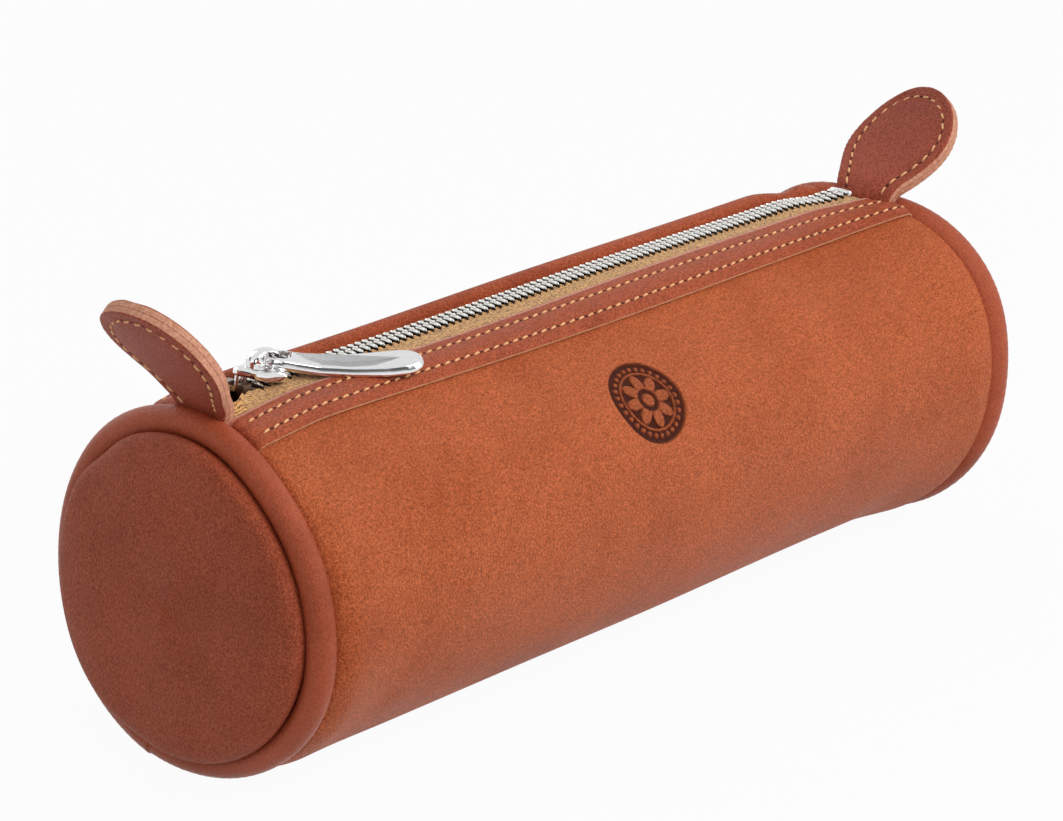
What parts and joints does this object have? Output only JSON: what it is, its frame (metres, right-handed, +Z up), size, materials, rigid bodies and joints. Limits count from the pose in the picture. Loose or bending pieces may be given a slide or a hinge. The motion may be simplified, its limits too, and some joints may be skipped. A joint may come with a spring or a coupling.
{
  "type": "pen case",
  "caption": "Round leather pen case with a metal zip along the top, piped domed ends, sewn zip facings and a leather pull tab at each end.",
  "frame": {"origin": "middle of the flat underside, where the tube rests, with the tube's axis above it", "axes": "+X along the tube, from the end where the closed zip's slider stands to the other end; +Z up through the zip; -Y is the side the puller lies on"},
  "size_m": [0.2441, 0.0762, 0.0987],
  "materials": {
    "panel_leather": "pebbled cognac leather, satin",
    "cap_leather": "darker cognac leather, satin",
    "facing_leather": "smooth cognac leather, sewn",
    "tab_leather": "chestnut leather with raw tan edges",
    "zip_tape": "woven tan cotton",
    "cotton_cord": "twisted cotton",
    "zip_metal": "bright nickel plate",
    "polished_metal": "mirror-polished nickel plate"
  },
  "bodies": {
    "case": {"main_panel_base": "panel_leather", "left_cap": "cap_leather", "right_cap": "cap_leather", "left_piping_cover": "panel_leather", "right_piping_cover": "panel_leather", "left_piping_cord": "cotton_cord", "right_piping_cord": "cotton_cord", "left_tab_root": "tab_leather", "right_tab_root": "tab_leather", "front_top_stop": "zip_metal", "rear_top_stop": "zip_metal", "bottom_stop": "zip_metal"},
    "front_side": {"main_panel_front": "panel_leather", "front_facing": "facing_leather", "front_tape": "zip_tape", "front_teeth": "zip_metal"},
    "rear_side": {"main_panel_rear": "panel_leather", "rear_facing": "facing_leather", "rear_tape": "zip_tape", "rear_teeth": "zip_metal"},
    "slider": {"slider_body": "zip_metal", "slider_bridge": "zip_metal"},
    "puller": {"puller": "polished_metal"},
    "left_tab": {"left_tab_outer": "tab_leather", "left_tab_inner": "tab_leather"},
    "right_tab": {"right_tab_outer": "tab_leather", "right_tab_inner": "tab_leather"}
  },
  "joints": [
    {"name": "slider_travel", "type": "slide", "parent": "case", "child": "slider", "axis": [1, 0, 0], "range_m": [0, 0.155]},
    {"name": "front_side_open", "type": "hinge", "parent": "case", "child": "front_side", "pos_m": [0, -0.0105, 0.0009], "axis": [1, 0, 0], "range_deg": [0, 15], "deforming": ["front_tape", "front_teeth"]},
    {"name": "rear_side_open", "type": "hinge", "parent": "case", "child": "rear_side", "pos_m": [0, 0.0105, 0.0009], "axis": [-1, 0, 0], "range_deg": [0, 15], "deforming": ["rear_tape", "rear_teeth"]},
    {"name": "puller_flip", "type": "hinge", "parent": "slider", "child": "puller", "pos_m": [-0.0855, 0, 0.07887], "axis": [-0.5592, -0.829, 0], "range_deg": [0, 110]},
    {"name": "left_tab_bend", "type": "hinge", "parent": "case", "child": "left_tab", "pos_m": [-0.0975, 0, 0.0753], "axis": [0, 1, 0], "range_deg": [0, 40]},
    {"name": "right_tab_bend", "type": "hinge", "parent": "case", "child": "right_tab", "pos_m": [0.0975, 0, 0.0753], "axis": [0, -1, 0], "range_deg": [0, 40]}
  ],
  "couplings": [
    {"joint": "front_side_open", "follows": "slider_travel", "rad_per_m": 1.68},
    {"joint": "rear_side_open", "follows": "slider_travel", "rad_per_m": 1.68}
  ]
}
